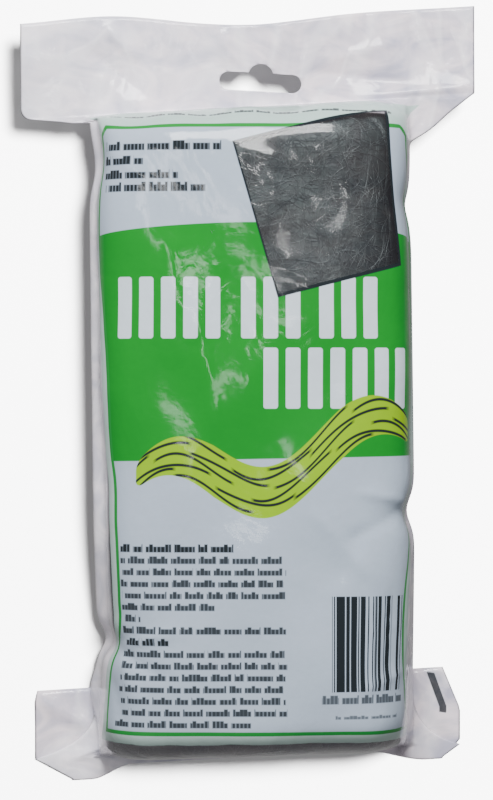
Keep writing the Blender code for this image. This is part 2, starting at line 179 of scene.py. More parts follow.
def lay_flat_width():
    """The tube laid flat is a little wider than the film that goes half way round the block."""
    half = BODY_WIDTH / 2
    return length_along(superellipse(half, half, BODY_DEPTH / 2, FACE_ROUNDING))[-1] + FILM_SLACK


BAG_WIDTH = lay_flat_width()


def half_shares():
    """Where the points of half a ring lie, from 0 to 1, closer together at the long corners."""
    fine = np.linspace(0, 1, SHARE_STEPS)
    density = 1 + sum(
        CORNER_DENSITY * np.exp(-(((fine - place) / CORNER_SPREAD) ** 2))
        for place in (CORNER_PLACE, 1 - CORNER_PLACE)
    )
    density = density + sum(
        KEEL_DENSITY * np.exp(-(((fine - place) / KEEL_SPREAD) ** 2)) for place in (0, 1)
    )
    total = np.concatenate([[0], np.cumsum((density[1:] + density[:-1]) / 2)])
    return np.interp(np.linspace(0, total[-1], HALF_STEPS + 1), total, fine)


SHARES = half_shares()


def reach(down, side):
    """How far the block reaches from the middle of the header to one side, this far down."""
    lean = BODY_RIGHT_OF_HEADER + math.tan(BODY_LEAN) * (down - BODY_LENGTH / 2)
    dents = sum(
        depth * math.exp(-(((down - place) / half_length) ** 2))
        for crease_side, place, depth, half_length in CREASES
        if crease_side == side
    )
    return BODY_WIDTH / 2 + side * lean - dents


def flare(down, side):
    """How much further the keel stands out on one side, this far down, than it does all along."""
    return sum(
        extra * math.exp(-(((down - place) / half_length) ** 2))
        for keel_side, place, extra, half_length in KEEL_FLARES
        if keel_side == side
    )


def back_height(down):
    """Height of the back over the floor: it rides up where the tail lies under it."""
    tail_end = BODY_LENGTH + TURN_OVERHANG - TAIL_LENGTH - math.tan(TAIL_SLANT) * BAG_WIDTH / 2
    return TAIL_LIFT * smooth(tail_end - BACK_RAMP[0], tail_end - BACK_RAMP[1], down)


def crease_height(down):
    """Height of the side creases: half way up, but down at the back where the tail turns under."""
    at_tail = TAIL_LIFT + FILM
    return at_tail + (HEADER_LEVEL - at_tail) * smooth(*CREASE_FALL, BODY_LENGTH - down)


def front_height(down):
    """Height of the front face, before it rounds off at the ends."""
    return BODY_DEPTH - PILLOW * (2 * down / BODY_LENGTH - 1) ** 2


def ends_rise(down):
    """How far the section has opened: 0 at a weld, 1 past the shoulder, for each end."""
    return rounding(down / TOP_SHOULDER), rounding((BODY_LENGTH - down) / LOWER_SHOULDER)


def ring_along(x, down, inset, left, right):
    """Y of each point of a ring: slanted, and with dropped corners, towards either end."""
    top_rise, lower_rise = ends_rise(down)
    half_way = 1 - 2 * down / BODY_LENGTH
    y = TOP_WELD - down - inset * half_way
    top = 1 - smooth(TOP_SHOULDER, TOP_SHOULDER + SHOULDER_FADE, down)
    lower = 1 - smooth(LOWER_SHOULDER, LOWER_SHOULDER + SHOULDER_FADE, BODY_LENGTH - down)
    y = y + x * (math.tan(TOP_SLANT) * top + math.tan(LOWER_SLANT) * lower)
    edge = np.where(x < 0, left, right) - inset
    corner = np.clip((np.abs(x) - edge + CORNER_REACH) / CORNER_REACH, 0, 1) ** 2
    top_drop = np.where(x < 0, TOP_CORNER_DROP[-1], TOP_CORNER_DROP[1])
    lower_drop = np.where(x < 0, LOWER_CORNER_DROP[-1], LOWER_CORNER_DROP[1])
    y = y - corner * top_drop * top * top_rise + corner * lower_drop * lower * lower_rise
    pleat = math.sin(math.pi * max(0.0, (top_rise - PLEAT_START) / (1 - PLEAT_START)))
    return y + PLEAT_RISE * pleat * np.cos(2 * math.pi * x / PLEAT_PITCH)


def spread(line):
    """The line's points at the shares of its length where a ring has them."""
    along = length_along(line)
    at = SHARES * along[-1]
    return np.column_stack([np.interp(at, along, line[:, k]) for k in range(2)])


def ear_ends(down, left, right):
    """How far the film goes to the left and right, ears included, for a block with these edges."""
    top_rise, lower_rise = ends_rise(down)
    ends = []
    for side, edge in ((-1, left), (1, right)):
        fall = down + TOP_CORNER_DROP[side] * top_rise
        top = max(0.0, 1 - fall / EAR_FALL[side]) * (BAG_WIDTH / 2 - HEADER_ROUNDING[side] - edge)
        lower = (1 - lower_rise) * (BAG_WIDTH / 2 - TAIL_NARROWING - edge)
        ends.append(edge + top + lower)
    return ends


def keeled(line, tall, keels):
    """Half a section with the loose film at both sides pressed flat: a keel along each crease."""
    on_left = line[:, 0] < 0
    edge = np.where(on_left, -line[0, 0], line[-1, 0])
    drawn = np.where(on_left, *keels) * smooth(*KEEL_SHARES, line[:, 1] / max(tall, FILM))
    return np.column_stack([line[:, 0] * (1 - drawn / edge), line[:, 1]])


def outline(down, inset=0.0, ears=True):
    """A section of the pack: a closed line of x and z, from the left crease over the front."""
    top_rise, lower_rise = ends_rise(down)
    rise = min(top_rise, lower_rise)
    flares = (flare(down, -1), flare(down, 1)) if ears else (-KEEL, -KEEL)
    left, right = (reach(down, side) + extra - inset for side, extra in zip((-1, 1), flares))
    keels = [0.0, 0.0]
    if ears:
        keels = [np.interp(down, *zip(*KEEL_DRAWN[side])) + flare(down, side) for side in (-1, 1)]
    level = max(crease_height(down), back_height(down) + inset)
    floor = level - max((level - back_height(down)) * top_rise - inset, FILM if ears else 0.0)
    height = max((front_height(down) - level) * rise - inset, 0.0)
    depth = level - floor + BACK_PRESS * rise
    far_left, far_right = ear_ends(down, left, right)
    halves = []
    for tall, exponent in ((height, FACE_ROUNDING), (depth, BACK_ROUNDING)):
        line = keeled(superellipse(left, right, tall, exponent), tall, keels)
        if ears and rise < 1:
            line[:, 1] = np.maximum(line[:, 1], FILM)
            line = np.vstack([[-far_left, FILM], line, [far_right, FILM]])
        line = spread(line)
        line[0, 1] = line[-1, 1] = 0.0
        halves.append(line)
    front, under = halves
    front[:, 1] = level + front[:, 1]
    under[:, 1] = np.maximum(level - under[:, 1], floor)
    return np.vstack([front, under[-2:0:-1]])


def block_ring(down, inset=0.0, ears=True):
    """A ring round the block: the film's outer face with its ears, or a face this far inside it."""
    top_rise, lower_rise = ends_rise(down)
    left, right = reach(down, -1), reach(down, 1)
    level = crease_height(down)
    ring = outline(down, inset, ears)
    x, z = ring[:, 0], ring[:, 1]
    y = ring_along(x, down, inset, left, right)
    over = np.clip((z - level) / (BODY_DEPTH - HEADER_LEVEL), 0, 1) * min(top_rise, lower_rise)
    lump = np.cos(2 * math.pi * x / LUMP_PITCH[0]) * np.sin(2 * math.pi * y / LUMP_PITCH[1])
    return np.column_stack([x, y, z + LUMP * over * lump])


def flat_ring(x, y, z, normal):
    """A ring round two films that lie flat on each other: x, y and z of the middle line."""
    middle = np.column_stack([x, y, z])
    shift = SHEET * np.asarray(normal)
    front = middle + shift
    front[0], front[-1] = middle[0], middle[-1]
    return np.vstack([front, (middle - shift)[-2:0:-1]])


def rounded_off(radius, distance):
    """How far a round corner has drawn in, this far from the end that it rounds off."""
    return radius - math.sqrt(radius**2 - max(0.0, radius - distance) ** 2)


def header_ring(share):
    """A ring of the header: share 1 is its upper edge."""
    corners = [rounded_off(HEADER_ROUNDING[side], share * HEADER_HEIGHT) for side in (-1, 1)]
    x = np.interp(SHARES, (0, 1), (corners[0] - BAG_WIDTH / 2, BAG_WIDTH / 2 - corners[1]))
    weld = TOP_WELD + math.tan(TOP_SLANT) * x
    upper = TOP_WELD + HEADER_HEIGHT + math.tan(HEADER_SLANT) * x
    for place, rise, half_width in HEADER_BUMPS:
        upper = upper + rise * np.exp(-(((x - place) / half_width) ** 2))
    y = weld + (upper - weld) * share
    wave = np.cos(2 * math.pi * (x + BAG_WIDTH / 2) / HEADER_WAVE_PITCH)
    lift = HEADER_WAVE * smooth(0, HEADER_STIFF_SHARE, share) * wave
    return flat_ring(x, y, HEADER_LEVEL + lift, (0, 0, 1))


def clipped(x, clip, distance):
    """The x of a flat ring, drawn in at both ears this far from where they are slanted off."""
    left = clip[-1][0] * max(0.0, 1 - distance / clip[-1][1])
    right = clip[1][0] * max(0.0, 1 - distance / clip[1][1])
    return np.interp(x, (x[0], x[-1]), (x[0] + left, x[-1] - right))


def turn_line(x, share=0.0):
    """Y of the line where the tail turns under, or of one nearer its straight cut edge."""
    bow = TURN_BOW * smooth(*TURN_BOW_RISE, x) * (1 - smooth(*TURN_BOW_FALL, x))
    return LOWER_END - TURN_OVERHANG + math.tan(TAIL_SLANT) * x + bow * (1 - share)


def tail_rings():
    """The rings past the lower weld: out to the turn, round it, and back under the pack."""
    half = BAG_WIDTH / 2 - TAIL_NARROWING
    straight = (2 * SHARES - 1) * half
    radius = TAIL_LIFT / 2
    rings = []
    for step in range(TURN_STEPS + 1):
        angle = math.pi * step / TURN_STEPS
        normal = (0, -math.sin(angle), math.cos(angle))
        x = clipped(straight, TURN_CLIP, 0.0)
        z = np.full_like(x, FILM + radius + radius * math.cos(angle))
        rings.append(flat_ring(x, turn_line(x) - radius * math.sin(angle), z, normal))
    for distance in TAIL_LENGTH * np.arange(1, TAIL_STEPS + 1) / TAIL_STEPS:
        x = clipped(clipped(straight, TURN_CLIP, distance), CUT_CLIP, TAIL_LENGTH - distance)
        y = turn_line(x, distance / TAIL_LENGTH) + distance
        rings.append(flat_ring(x, y, np.full_like(x, FILM), (0, 0, -1)))
    return rings


def run_out_rings(end, turn):
    """The flat film between the end of the block and the turn."""
    shares = np.arange(1, RUN_OUT_STEPS) / RUN_OUT_STEPS
    return [end + (turn - end) * share for share in shares]


def stations(shoulder_steps, body_steps):
    """Distances below the top weld at which the block has a ring."""
    turns = [math.pi / 2 * step / shoulder_steps for step in range(shoulder_steps + 1)]
    end = [1 - math.cos(turn) ** (2 / END_ROUNDING) for turn in turns]
    top = [TOP_SHOULDER * share for share in end]
    lower = [BODY_LENGTH - LOWER_SHOULDER * share for share in reversed(end)]
    between = np.linspace(top[-1], lower[0], body_steps + 1)[1:-1]
    return top + list(between) + lower


def film_rings():
    """All rings of the film, from the upper edge of the header to the cut edge of the tail."""
    header = [header_ring((1 - step / HEADER_STEPS) ** HEADER_CROWDING) for step in range(HEADER_STEPS)]
    block = [block_ring(down) for down in stations(SHOULDER_STEPS, BODY_STEPS)]
    tail = tail_rings()
    rings = header + block + run_out_rings(block[-1], tail[0]) + tail
    rings = np.array(rings)
    shift = -(rings[:, :, 1].max() + rings[:, :, 1].min()) / 2
    rings[:, :, 1] += shift
    return rings, shift, len(header), len(header) + len(block)


def film_map(rings, first, last):
    """Where each point lies on the film: across from the middle of the front, and along."""
    closed = np.concatenate([rings, rings[:, :1]], axis=1)
    steps = np.linalg.norm(np.diff(closed, axis=1), axis=2)
    around = np.concatenate([np.zeros((len(rings), 1)), np.cumsum(steps, axis=1)], axis=1)
    front = slice(0, HALF_STEPS + 1)
    middle = [np.interp(0.0, ring[front, 0], line[front]) for ring, line in zip(rings, around)]
    across = around - np.array(middle)[:, None]
    along = closed[:, :, 1].copy()
    start, end = first + SHOULDER_STEPS, last - SHOULDER_STEPS - 1
    for ring in range(start - 1, -1, -1):
        along[ring] = along[ring + 1] + np.linalg.norm(closed[ring] - closed[ring + 1], axis=1)
    for ring in range(end + 1, len(rings)):
        along[ring] = along[ring - 1] - np.linalg.norm(closed[ring] - closed[ring - 1], axis=1)
    return across, along


# Fold lines of the header and the lower ears, as seen from above: from, to, height and width
FLAT_FOLDS = (
    ((-0.0555, 0.1455), (-0.044, 0.132), 0.0024, 0.0028),
    ((-0.062, 0.136), (-0.04, 0.118), -0.002, 0.004),
    ((-0.033, 0.15), (-0.03, 0.118), 0.0014, 0.0036),
    ((-0.012, 0.144), (-0.004, 0.129), 0.0018, 0.0018),
    ((0.003, 0.145), (0.005, 0.131), -0.0016, 0.0022),
    ((0.016, 0.147), (0.008, 0.131), 0.0014, 0.002),
    ((0.018, 0.118), (0.024, 0.109), 0.0014, 0.002),
    ((0.044, 0.1175), (0.089, 0.1215), 0.0016, 0.0022),
    ((0.025, 0.127), (0.064, 0.123), -0.0018, 0.003),
    ((0.03, 0.131), (0.06, 0.139), 0.0014, 0.0034),
    ((0.05, 0.15), (0.056, 0.126), 0.0012, 0.004),
    ((-0.085, -0.12), (-0.06, -0.133), 0.0016, 0.003),
    ((-0.08, -0.15), (-0.056, -0.138), 0.0014, 0.0026),
    ((0.066, -0.108), (0.08, -0.134), 0.0016, 0.0028),
)
# Fold lines of the printed face, on the film's own map: from, to, height and width
FACE_FOLDS = (
    ((-0.052, -0.096), (-0.026, -0.089), 0.0012, 0.002),
    ((-0.052, -0.097), (-0.03, -0.108), -0.0012, 0.0022),
    ((-0.05, -0.1), (-0.042, -0.118), 0.001, 0.002),
    ((-0.056, -0.108), (-0.048, -0.127), -0.0009, 0.0024),
    ((0.066, -0.04), (0.042, -0.036), 0.0012, 0.0024),
    ((0.066, -0.041), (0.035, -0.056), -0.001, 0.003),
    ((0.025, -0.043), (0.048, -0.07), 0.0012, 0.0034),
    ((0.044, -0.05), (0.033, -0.072), -0.0009, 0.003),
    ((0.047, -0.072), (0.05, -0.112), 0.0009, 0.0017),
    ((0.056, -0.074), (0.0545, -0.113), -0.0009, 0.0018),
    ((0.04, -0.113), (0.064, -0.105), 0.0009, 0.0026),
    ((-0.03, 0.064), (-0.027, 0.033), 0.0009, 0.0034),
    ((-0.019, 0.036), (-0.012, -0.017), 0.001, 0.003),
    ((-0.004, 0.095), (0.014, 0.09), 0.001, 0.0026),
    ((-0.002, 0.09), (0.006, 0.076), -0.0009, 0.0024),
    ((0.013, 0.05), (0.028, 0.044), 0.0008, 0.002),
    ((-0.056, 0.096), (-0.04, 0.084), 0.0008, 0.003),
)
FOLD_STARTS = (-0.15, 0.25)
FOLD_STOPS = (0.7, 1.15)
# Soft lumps of the face and of the flat film: size, height and seed
LUMPS = ((0.042, 0.00055, 11), (0.019, 0.00028, 12), (0.008, 0.00008, 13))
FLAT_LUMPS = (0.016, 0.0006, 3)
FOLD_THIN = (0.001, 0.007)
FACE_EASE = 0.01
ON_THE_FLOOR = 8 * FILM
FLOOR_EASE = (-0.15, -0.14)


def folds(x, y, lines):
    """Height of fold lines at each point: crisp along their middle, easing out at their ends."""
    total = np.zeros_like(x)
    for start, end, height, width in lines:
        step_x, step_y = end[0] - start[0], end[1] - start[1]
        length = math.hypot(step_x, step_y)
        along = ((x - start[0]) * step_x + (y - start[1]) * step_y) / length**2
        off = np.abs((x - start[0]) * step_y - (y - start[1]) * step_x) / length
        ends = smooth(*FOLD_STARTS, along) * (1 - smooth(*FOLD_STOPS, along))
        total += height * ends * np.exp(-off / width)
    return total


def noise_field(x, y, size, seed):
    """Smooth seeded noise from -1 to 1 at each point, with lumps of this size."""
    flat = zip((x / size).ravel(), (y / size).ravel())
    return np.array([noise.noise(Vector((a, b, seed))) for a, b in flat]).reshape(x.shape)


def grid_normals(rings):
    """Outward normals of the rings' surface at its points."""
    around = np.roll(rings, -1, axis=1) - np.roll(rings, 1, axis=1)
    down = np.gradient(rings, axis=0)
    normal = np.cross(down, around)
    return normal / np.maximum(np.linalg.norm(normal, axis=2, keepdims=True), 1e-12)


def wrinkled(rings, across, along):
    """The film with its folds: lifts where two sheets lie together, and dents in the face."""
    count = rings.shape[1]
    x, y, z = rings[..., 0], rings[..., 1], rings[..., 2]
    other = (-np.arange(count)) % count
    apart = np.abs(z - z[:, other])
    flat = 1 - smooth(*FOLD_THIN, apart)
    size, rise, seed = FLAT_LUMPS
    lift = flat * (folds(x, y, FLAT_FOLDS) + rise * noise_field(x, y, size, seed))
    lift = np.where(z < ON_THE_FLOOR, np.maximum(lift, 0) * smooth(*FLOOR_EASE, y), lift)
    half = count // 2
    u, v = across[:, :count], along[:, :count]
    on_face = smooth(0, FACE_EASE, z - HEADER_LEVEL) * (np.arange(count) < half)
    height = folds(u, v, FACE_FOLDS)
    for size, rise, seed in LUMPS:
        height = height + rise * noise_field(u, v, size, seed)
    shifted = rings + grid_normals(rings) * (height * on_face * (1 - flat))[..., None]
    shifted[..., 2] += lift
    return shifted


def placed(name, data):
    """A new object with this data, in the scene."""
    made = bpy.data.objects.new(name, data)
    bpy.context.scene.collection.objects.link(made)
    return made


def skin(name, rings, across=None, along=None):
    """A closed mesh through rings of points, with the print's map if there is one."""
    total, count = rings.shape[:2]
    row = np.arange(total - 1)[:, None]
    column = np.arange(count)[None, :]
    corners = ((row, column), (row + 1, column), (row + 1, column + 1), (row, column + 1))
    corners = [np.broadcast_arrays(*corner) for corner in corners]
    faces = np.stack([r * count + k % count for r, k in corners], axis=-1).reshape(-1, 4).tolist()
    places = np.stack([r * (count + 1) + k for r, k in corners], axis=-1).reshape(-1, 4).tolist()
    for ring, turn in ((0, 1), (total - 1, -1)):
        for k in range(count // 2):
            across_edge = dict.fromkeys((k, k + 1, count - k - 1, (count - k) % count))
            edge = list(across_edge)[::turn]
            faces.append([ring * count + at for at in edge])
            places.append([ring * (count + 1) + at for at in edge])
    mesh = bpy.data.meshes.new(name)
    mesh.from_pydata(rings.reshape(-1, 3).tolist(), [], faces)
    if across is not None:
        layer = mesh.uv_layers.new(name="print")
        at = np.concatenate([np.array(place) for place in places])
        values = np.stack([across.ravel()[at], along.ravel()[at]], axis=1)
        layer.data.foreach_set("uv", values.astype(np.float32).ravel())
    mesh.shade_smooth()
    return placed(name, mesh)


def prism(name, line, low, high, plane="XY"):
    """A cutter: an upright prism of an outline, or for plane YZ one that runs across the pack."""
    shape = bmesh.new()
    corners = [(a, b, low) if plane == "XY" else (low, a, b) for a, b in line]
    base = shape.faces.new([shape.verts.new(corner) for corner in corners])
    grown = bmesh.ops.extrude_face_region(shape, geom=[base])["geom"]
    step = (0, 0, high - low) if plane == "XY" else (high - low, 0, 0)
    tops = [item for item in grown if isinstance(item, bmesh.types.BMVert)]
    bmesh.ops.translate(shape, vec=step, verts=tops)
    bmesh.ops.recalc_face_normals(shape, faces=shape.faces)
    mesh = bpy.data.meshes.new(name)
    shape.to_mesh(mesh)
    shape.free()
    return placed(name, mesh)


def cut(target, cutters):
    """Take the cutters out of the target's mesh, and remove them."""
    for cutter in cutters:
        modifier = target.modifiers.new(cutter.name, "BOOLEAN")
        modifier.operation = "DIFFERENCE"
        modifier.solver = "EXACT"
        modifier.object = cutter
    view = bpy.context.evaluated_depsgraph_get()
    mesh = bpy.data.meshes.new_from_object(target.evaluated_get(view))
    target.modifiers.clear()
    target.data = mesh
    for cutter in cutters:
        bpy.data.objects.remove(cutter)


def arc(centre, radius, start, end, steps):
    """Points of an arc, angles in degrees."""
    angles = np.radians(np.linspace(start, end, steps + 1))
    return [(centre[0] + radius * math.cos(a), centre[1] + radius * math.sin(a)) for a in angles]


def slot_outline(shift):
    """The hang slot: a long slot with round ends and a round crown over its middle."""
    end_radius = SLOT_HEIGHT / 2
    straight = SLOT_LENGTH / 2 - end_radius
    dip = math.degrees(math.asin((end_radius - SLOT_CROWN_RISE) / SLOT_CROWN_RADIUS))
    points = arc((-straight, 0), end_radius, 90, 270, ARC_STEPS)
    points += arc((straight, 0), end_radius, -90, 90, ARC_STEPS)
    points += arc((0, SLOT_CROWN_RISE), SLOT_CROWN_RADIUS, dip, 180 - dip, ARC_STEPS)
    cos, sin = math.cos(SLOT_TILT), math.sin(SLOT_TILT)
    middle = (SLOT_RIGHT_OF_MIDDLE, TOP_WELD + SLOT_ABOVE_WELD + shift)
    return [(middle[0] + x * cos - y * sin, middle[1] + x * sin + y * cos) for x, y in points]


def vents(shift):
    """The two round vents in the back: their centres."""
    return [(side * VENT_SPACING / 2, TOP_WELD - VENT_BELOW_WELD + shift) for side in (-1, 1)]


def open_vents(mesh, shift):
    """The vents are cut as shallow pits, and their bottoms are taken out here."""
    shape = bmesh.new()
    shape.from_mesh(mesh)
    loose = []
    for face in shape.faces:
        middle = face.calc_center_median()
        near = any(math.dist(middle[:2], vent) < VENT_RADIUS for vent in vents(shift))
        if near and FILM < middle.z < 4 * FILM:
            loose.append(face)
    bmesh.ops.delete(shape, geom=loose, context="FACES")
    shape.to_mesh(mesh)
    shape.free()


def film_bag():
    """The film, its hang slot and its vents. Gives the piece, and how far Y was moved."""
    rings, shift, first, last = film_rings()
    across, along = film_map(rings, first, last)
    film = skin("film", wrinkled(rings, across, along), across, along)
    cutters = [prism("slot_cutter", slot_outline(shift), 0, BODY_DEPTH)]
    for k, centre in enumerate(vents(shift)):
        line = arc(centre, VENT_RADIUS, 0, 360 - 360 / VENT_STEPS, VENT_STEPS - 1)
        cutters.append(prism(f"vent_cutter_{k}", line, -FILM, 2 * FILM))
    cut(film, cutters)
    open_vents(film.data, shift)
    return film, shift


# The wool: folded up in layers, a little smaller than the solid that it stands for
LAYERS = 6
WOOL_GAP = 0.0004
LAYER_GAP = 0.001
GAP_FLARE = 0.0036
FLARE_LENGTH = 0.011
FOLD_WALL = 0.0085
WOOL_INSET = 0.001
WOOL_LUMPS = ((0.03, 0.0003, 5), (0.009, 0.00035, 6), (0.0035, 0.0003, 7))
WOOL_GIRTH = 0.36
FIBRE_RADIUS = 0.00009
FIBRE_SPREAD = (0.7, 1.3)
FIBRE_STEP = 0.0014
FIBRE_STEPS = 26
FIBRE_SHORTEST = 5
FIBRE_REST = 0.00012
FIBRE_LIFT = 0.0002
FIRST_BEND = 0.08
BEND_KEPT = 0.85
BEND_CHANGE = 0.1
FIBRE_SEED = 11


def gap_outline(height, open_end, shift):
    """The gap between two layers, seen from the side: thin, and flared where it opens."""
    far = BODY_LENGTH
    closed = -open_end * (BODY_LENGTH / 2 - FOLD_WALL)
    flare = open_end * (BODY_LENGTH / 2 - FLARE_LENGTH)
    thin, wide = LAYER_GAP / 2, GAP_FLARE / 2
    steepness = (wide - thin) / FLARE_LENGTH
    outside = thin + steepness * (far - abs(flare))
    return [
        (closed + shift, height - thin),
        (flare + shift, height - thin),
        (open_end * far + shift, height - outside),
        (open_end * far + shift, height + outside),
        (flare + shift, height + thin),
        (closed + shift, height + thin),
    ]


def steel_wool(shift):
    """The block of wool, with the gaps that make it one ribbon folded up."""
    downs = stations(SHOULDER_STEPS, BODY_STEPS)[1:-1]
    rings = np.array([block_ring(down, WOOL_INSET, ears=False) for down in downs])
    rings[:, :, 1] += shift
    y = rings[..., 1]
    around = np.linspace(0, WOOL_GIRTH, rings.shape[1])[None, :] + np.zeros_like(y)
    height = sum(rise * noise_field(around, y, size, seed) for size, rise, seed in WOOL_LUMPS)
    rings = rings + grid_normals(rings) * height[..., None]
    wool = skin("wool", rings)
    pitch = (BODY_DEPTH - 2 * (FILM + WOOL_GAP)) / LAYERS
    cutters = []
    for layer in range(1, LAYERS):
        line = gap_outline(FILM + WOOL_GAP + layer * pitch, 1 if layer % 2 else -1, shift)
        cutters.append(prism(f"layer_cutter_{layer}", line, -BODY_WIDTH, BODY_WIDTH, "YZ"))
    cut(wool, cutters)
    return wool


def tube(shape, points, radius, sides=3):
    """A fine tube through the points, added to the bmesh."""
    rings = []
    for k, point in enumerate(points):
        ahead = (points[min(k + 1, len(points) - 1)] - points[max(k - 1, 0)]).normalized()
        side = ahead.cross(Vector((0.3, 0.2, 1.0))).normalized()
        up = side.cross(ahead)
        turn = [2 * math.pi * corner / sides for corner in range(sides)]
        rings.append([
            shape.verts.new(point + radius * (math.cos(a) * side + math.sin(a) * up)) for a in turn
        ])
    for ring, after in zip(rings, rings[1:]):
        for k in range(sides):
            shape.faces.new((ring[k], ring[k - 1], after[k - 1], after[k]))
    shape.faces.new(rings[0])
    shape.faces.new(rings[-1][::-1])


# Where loose fibres lie: the box that they start in, across and along, and how many there are
FIBRE_FIELDS = (
    ((-0.012, 0.062), (0.03, 0.11), 420),
    ((-0.06, 0.064), (-0.143, -0.12), 200),
    ((-0.056, 0.058), (-0.12, 0.11), 130),
)
DROP_FROM = 1.0


def loose_fibres(wool):
    """Curled fibres that lie on the wool, where it shows."""
    surface = BVHTree.FromObject(wool, bpy.context.evaluated_depsgraph_get())
    chance = random.Random(FIBRE_SEED)
    shape = bmesh.new()
    for across, along, count in FIBRE_FIELDS:
        for _ in range(count):
            x, y = chance.uniform(*across), chance.uniform(*along)
            heading, bend = chance.uniform(0, 2 * math.pi), chance.gauss(0, FIRST_BEND)
            points = []
            for _ in range(chance.randint(FIBRE_STEPS // 2, FIBRE_STEPS)):
                found = surface.ray_cast(Vector((x, y, DROP_FROM)), Vector((0, 0, -1)))[0]
                if found is None:
                    break
                points.append(found + Vector((0, 0, FIBRE_REST + chance.uniform(0, FIBRE_LIFT))))
                bend = BEND_KEPT * bend + chance.gauss(0, BEND_CHANGE)
                heading += bend
                x, y = x + FIBRE_STEP * math.cos(heading), y + FIBRE_STEP * math.sin(heading)
            if len(points) >= FIBRE_SHORTEST:
                tube(shape, points, FIBRE_RADIUS * chance.uniform(*FIBRE_SPREAD))
    mesh = bpy.data.meshes.new("wool_fibres")
    shape.to_mesh(mesh)
    shape.free()
    mesh.shade_smooth()
    return placed("wool_fibres", mesh)


class Value:
    """A number in a material's nodes, with which formulas can be written."""

    def __init__(self, tree, socket):
        self.tree = tree
        self.socket = socket

    def put_into(self, socket):
        self.tree.links.new(self.socket, socket)

    def worked(self, operation, *others, clamp=False):
        node = self.tree.nodes.new("ShaderNodeMath")
        node.operation = operation
        node.use_clamp = clamp
        for socket, value in zip(node.inputs, (self, *others)):
            give(value, socket)
        return Value(self.tree, node.outputs[0])

    def clamped(self):
        return self.worked("ADD", 0.0, clamp=True)

    def __add__(self, other):
        return self.worked("ADD", other)

    __radd__ = __add__

    def __sub__(self, other):
        return self.worked("SUBTRACT", other)

    def __rsub__(self, other):
        return self.worked("MULTIPLY_ADD", -1.0, other)

    def __mul__(self, other):
        return self.worked("MULTIPLY", other)

    def __truediv__(self, other):
        return self.worked("DIVIDE", other)

    def __abs__(self):
        return self.worked("ABSOLUTE")


def give(value, socket):
    """Link a value to a socket, or set the socket to a plain one."""
    if isinstance(value, Value):
        value.put_into(socket)
    else:
        socket.default_value = value


def largest(first, second):
    return first.worked("MAXIMUM", second)


def smallest(first, second):
    return first.worked("MINIMUM", second)


def inside(distance, soft=0.0003):
    """1 where the distance is negative and 0 where it is positive, with a soft edge."""
    return (0.5 - distance / soft).clamped()


def stretched(value, low, high):
    """The value taken from low to high over to 0 to 1, and kept there."""
    return ((value - low) / (high - low)).clamped()


def noise_value(tree, place, scale, detail, rough=0.5, squeeze=(1, 1, 1), twist=0.0):
    """Noise from 0 to 1 over a place, squeezed along its axes."""
    mapping = tree.nodes.new("ShaderNodeMapping")
    mapping.inputs["Scale"].default_value = squeeze
    tree.links.new(place, mapping.inputs["Vector"])
    node = tree.nodes.new("ShaderNodeTexNoise")
    node.inputs["Scale"].default_value = scale
    node.inputs["Detail"].default_value = detail
    node.inputs["Roughness"].default_value = rough
    node.inputs["Distortion"].default_value = twist
    tree.links.new(mapping.outputs[0], node.inputs["Vector"])
    return Value(tree, node.outputs[0])


def blended(tree, share, first, second):
    """One colour over another by a share from 0 to 1: each is a colour or a socket."""
    node = tree.nodes.new("ShaderNodeMix")
    node.data_type = "RGBA"
    give(share, node.inputs["Factor"])
    for socket, colour in ((node.inputs[6], first), (node.inputs[7], second)):
        if isinstance(colour, tuple):
            socket.default_value = colour
        else:
            tree.links.new(colour, socket)
    return node.outputs[2]


def box(u, v, across, along):
    """Distance outside a box of the print, given by its two sides and its two ends."""
    beside = largest(across[0] - u, u - across[1])
    return largest(beside, largest(along[0] - v, v - along[1]))


def rounded(beside, beyond, radius):
    """Distance outside a shape with rounded corners, from the distances past its sides and ends."""
    a = largest(beside + radius, 0.0)
    b = largest(beyond + radius, 0.0)
    return (a * a + b * b).worked("SQRT") - radius


def tiles(u, v, first, count, along):
    """A row of upright tiles with round corners: left edge of the first, how many, low and high."""
    cell = ((u - first) / TILE_PITCH).worked("FRACT")
    beside = abs(cell * TILE_PITCH - TILE_WIDTH / 2) - TILE_WIDTH / 2
    beyond = largest(along[0] - v, v - along[1])
    shape = rounded(beside, beyond, TILE_CORNER)
    row = largest(first - TILE_EASE - u, u - (first + count * TILE_PITCH - TILE_EASE))
    return inside(largest(shape, row))


def white_noise(tree, at):
    """A node with random numbers, others for each value."""
    node = tree.nodes.new("ShaderNodeTexWhiteNoise")
    node.noise_dimensions = "1D"
    give(at, node.inputs["W"])
    return node


def seeded(value, place, seeds):
    """A number that goes with the value, and starts elsewhere for another place."""
    return value * seeds[0] + place * seeds[1]


